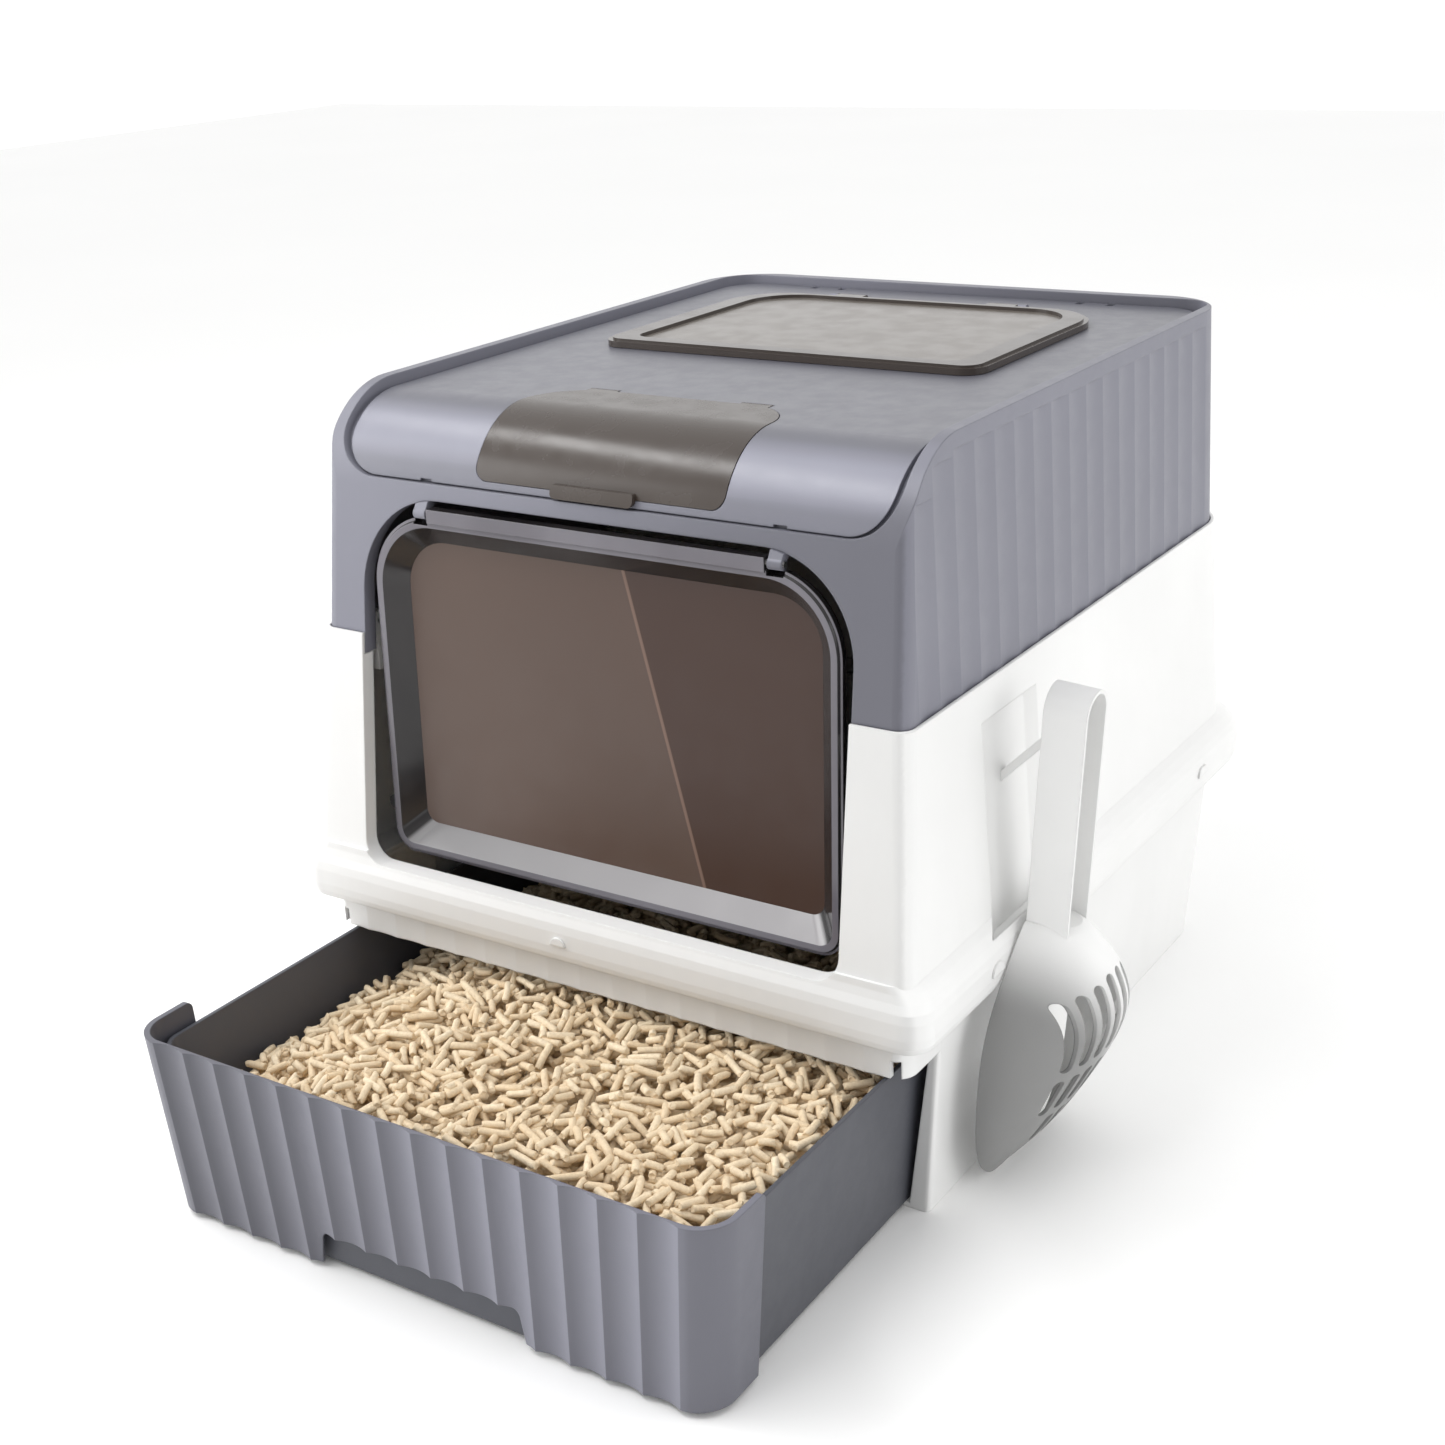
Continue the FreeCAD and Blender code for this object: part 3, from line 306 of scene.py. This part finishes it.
def packed_bed(verts, faces, rng, low, high, top_z):
    """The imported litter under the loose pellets: a closed block with a rough upper face at top_z(x)."""
    nx, ny = BED_GRID
    start = len(verts)
    for j in range(ny + 1):
        for i in range(nx + 1):
            on_edge = i in (0, nx) or j in (0, ny)
            x, y = low.x + (high.x - low.x) * i / nx, low.y + (high.y - low.y) * j / ny
            verts.append((x, y, top_z(x) + (0 if on_edge else rng.uniform(-0.001, 0.0022))))
    for j in range(ny):
        for i in range(nx):
            a = start + j * (nx + 1) + i
            faces.append((a, a + 1, a + nx + 2, a + nx + 1))
    ring = [start + i for i in range(nx + 1)] + [start + j * (nx + 1) + nx for j in range(1, ny + 1)]
    ring += [start + ny * (nx + 1) + i for i in range(nx - 1, -1, -1)]
    ring += [start + j * (nx + 1) for j in range(ny - 1, 0, -1)]
    foot = len(verts)
    for k in ring:
        px, py, _ = verts[k]
        verts.append((px * 0.96, (py - low.y) * 0.985 + low.y + 0.003, low.z))
    for n in range(len(ring)):
        after = (n + 1) % len(ring)
        faces.append((ring[after], ring[n], foot + n, foot + after))
    faces.append(tuple(foot + n for n in reversed(range(len(ring)))))


def litter():
    """Pellets dropped one by one on a height map of the tray, so that each rests on those below."""
    rng = np.random.default_rng(11)
    low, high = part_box("litter_bed")
    x0, x1 = low.x + WALL_GAP, high.x - WALL_GAP
    y0, y1 = low.y + WALL_GAP, high.y - WALL_GAP
    base_z = high.z - 0.007
    shape = (int((x1 - x0) / CELL) + 1, int((y1 - y0) / CELL) + 1)

    def hollow(x):
        return HOLLOW_DEPTH * max(0.0, 1 - (x - x0) / (x1 - x0) / 0.32) ** 1.3

    def target(x, y):
        """How high the litter is wanted at a point."""
        u, v = (x - x0) / (x1 - x0), (y - y0) / (y1 - y0)
        hill = 0.0075 * math.sin(math.pi * min(max(u, 0), 1)) ** 0.6 + 0.003 * u
        return high.z + 0.001 + hill - hollow(x) - 0.003 * max(0.0, v - 0.5)

    def cells(px, py):
        return (np.clip(((px - x0) / CELL).astype(int), 0, shape[0] - 1),
                np.clip(((py - y0) / CELL).astype(int), 0, shape[1] - 1))

    heights = np.empty(shape)
    for i in range(shape[0]):
        heights[i, :] = base_z - hollow(x0 + i * CELL)

    rings, ring_r = (-1.0, -0.86, 0.0, 0.86, 1.0), (0.84, 1.0, 1.0, 1.0, 0.84)
    turns = np.arange(SIDES) * 2 * math.pi / SIDES
    verts, faces, tints = [], [], []
    for _ in range(PELLET_TRIES):
        half = rng.uniform(*PELLET_HALF_LENGTH)
        yaw = rng.uniform(0, math.pi)
        dx, dy = math.cos(yaw), math.sin(yaw)
        reach_x, reach_y = abs(dx) * half + PELLET_RADIUS, abs(dy) * half + PELLET_RADIUS
        cx, cy = rng.uniform(x0 + reach_x, x1 - reach_x), rng.uniform(y0 + reach_y, y1 - reach_y)
        along = np.linspace(-half, half, 13)
        ground = heights[cells(cx + along * dx, cy + along * dy)]

        # the two points it rests on, or one point and a lean
        left, right = np.argmax(ground[:7]), 6 + np.argmax(ground[6:])
        if right - left < 4:
            left, right = 0, 12
            rise = ground.max() - ground[[left, right]].mean()
            slope = (ground[right] - ground[left]) / (along[right] - along[left]) * 0.5
            level = ground[left] + rise * 0.85
            middle = level - slope * along[left]
        else:
            slope = (ground[right] - ground[left]) / (along[right] - along[left])
            middle = ground[left] - slope * along[left]
        slope = max(min(slope, STEEPEST), -STEEPEST)
        centre_z = middle + PELLET_RADIUS * 0.92
        if centre_z + PELLET_RADIUS + abs(slope) * half > target(cx, cy) + 0.004:
            continue

        axis = Vector((dx, dy, slope)).normalized()
        side = Vector((-dy, dx, 0))
        up = axis.cross(side)
        r = PELLET_RADIUS * rng.uniform(0.93, 1.03)
        bend = rng.uniform(-0.0006, 0.0006)
        start = len(verts)
        for t, ring_scale in zip(rings, ring_r):
            for turn in turns:
                chip = rng.uniform(-0.0007, 0.0007) if abs(t) == 1.0 else 0.0
                rough = r * ring_scale * rng.uniform(0.95, 1.04)
                point = Vector((cx, cy, centre_z)) + axis * (t * half + chip)
                point += side * (math.cos(turn) * rough + bend * (1 - t * t)) + up * (math.sin(turn) * rough)
                verts.append(tuple(point))
        for k in range(len(rings) - 1):
            for j in range(SIDES):
                a, b = start + k * SIDES + j, start + k * SIDES + (j + 1) % SIDES
                faces.append((a, b, b + SIDES, a + SIDES))
        last = start + (len(rings) - 1) * SIDES
        faces.append(tuple(start + j for j in reversed(range(SIDES))))
        faces.append(tuple(last + j for j in range(SIDES)))
        tints += [min(max(rng.normal(0.62, 0.2), 0.0), 1.0)] * (len(rings) * SIDES)

        # raise the height map under the pellet's back and flanks
        top = centre_z + slope * along + r
        for shift, drop in ((0, 0), (1, 0.0006), (-1, 0.0006), (1.7, 0.0018), (-1.7, 0.0018)):
            across = shift * CELL
            where = cells(cx + along * dx - across * dy, cy + along * dy + across * dx)
            np.maximum.at(heights, where, top - drop)

    packed_bed(verts, faces, rng, low, high, lambda x: base_z - hollow(x))
    # the packed bed under the loose pellets takes a darker tint: painted shade between the pellets
    tints += [0.25] * (len(verts) - len(tints))
    mesh = bpy.data.meshes.new("litter_pellets")
    mesh.from_pydata(verts, [], faces)
    mesh.attributes.new("tint", "FLOAT", "POINT").data.foreach_set("value", tints)
    mesh.materials.append(wood_pellets().mat)
    for polygon in mesh.polygons:
        polygon.use_smooth = len(polygon.vertices) == 4
    piece = bpy.data.objects.new("litter_pellets", mesh)
    bpy.context.scene.collection.objects.link(piece)
    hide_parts("litter_bed")
    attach(piece, "drawer")


litter()


# ---- floor, light and camera -------------------------------------------------------------------
def floor():
    mesh = bpy.data.meshes.new("floor")
    steps, half = 24, 6.0
    ticks = [-half + 2 * half * i / steps for i in range(steps + 1)]
    verts = [(x, y, 0.0) for y in ticks for x in ticks]
    row = steps + 1
    corners = [j * row + i for j in range(steps) for i in range(steps)]
    mesh.from_pydata(verts, [], [(a, a + 1, a + row + 1, a + row) for a in corners])
    m = Mat("pale_floor", IOR=1.4, Specular_IOR_Level=0.2)
    m.feed(m.shader.inputs["Base Color"], m.mix(m.noise(1.5, 2.0), (0.95, 0.95, 0.945), (0.98, 0.98, 0.975)))
    m.gloss(m.noise(9.0), 0.65, 0.8)
    m.surface(m.noise(250.0, 3.0), 0.0003, 0.2)
    mesh.materials.append(m.mat)
    ground = bpy.data.objects.new("floor", mesh)
    bpy.context.scene.collection.objects.link(ground)


def softbox(name, place, aim, size, power):
    data = bpy.data.lights.new(name, "AREA")
    data.shape, data.size, data.size_y, data.energy = "RECTANGLE", size[0], size[1], power
    lamp = bpy.data.objects.new(name, data)
    lamp.location = place
    lamp.rotation_euler = (Vector(aim) - Vector(place)).to_track_quat("-Z", "Y").to_euler()
    bpy.context.scene.collection.objects.link(lamp)


def studio():
    """A white world, brightest towards the back left and above."""
    world = bpy.data.worlds.new("studio")
    world.use_nodes = True
    tree = world.node_tree
    direction = tree.nodes.new("ShaderNodeTexCoord").outputs["Generated"]
    towards = tree.nodes.new("ShaderNodeVectorMath")
    towards.operation = "DOT_PRODUCT"
    towards.inputs[1].default_value = (-0.62, 0.55, 0.56)
    ramp = tree.nodes.new("ShaderNodeMapRange")
    for key, value in (("From Min", -0.9), ("From Max", 0.5), ("To Min", 0.40), ("To Max", 1.12)):
        ramp.inputs[key].default_value = value
    tree.links.new(direction, towards.inputs[0])
    tree.links.new(towards.outputs["Value"], ramp.inputs["Value"])
    tree.links.new(ramp.outputs["Result"], tree.nodes["Background"].inputs["Strength"])
    tree.nodes["Background"].inputs["Color"].default_value = (1.0, 1.0, 1.0, 1.0)
    bpy.context.scene.world = world


def place_camera():
    lens = bpy.data.cameras.new("camera")
    lens.lens, lens.sensor_width = 50.80, 36.0
    camera = bpy.data.objects.new("camera", lens)
    right_up_back = Matrix(((0.8385671, 0.54297405, -0.04454668), (-0.16238648, 0.32716289, 0.93091088),
                            (0.52003447, -0.77339746, 0.36251968)))
    place = Matrix.Translation((0.626685, -1.030874, 0.654298))
    camera.matrix_world = place @ right_up_back.transposed().to_4x4()
    bpy.context.scene.collection.objects.link(camera)
    bpy.context.scene.camera = camera


floor()
studio()
softbox("key", (-1.15, -0.85, 0.75), (-0.1, -0.2, 0.2), (0.9, 0.9), 6.5)
softbox("front", (-0.6, -2.3, 0.9), (0.0, -0.25, 0.1), (1.2, 0.9), 2)
softbox("shoulder", (-0.5, -0.75, 1.55), (0.0, -0.20, 0.4), (1.6, 0.22), 9)
softbox("side", (1.9, 0.3, 0.75), (0.2, 0.0, 0.08), (1.6, 1.0), 8)
place_camera()
bpy.context.scene.view_settings.view_transform = "Standard"
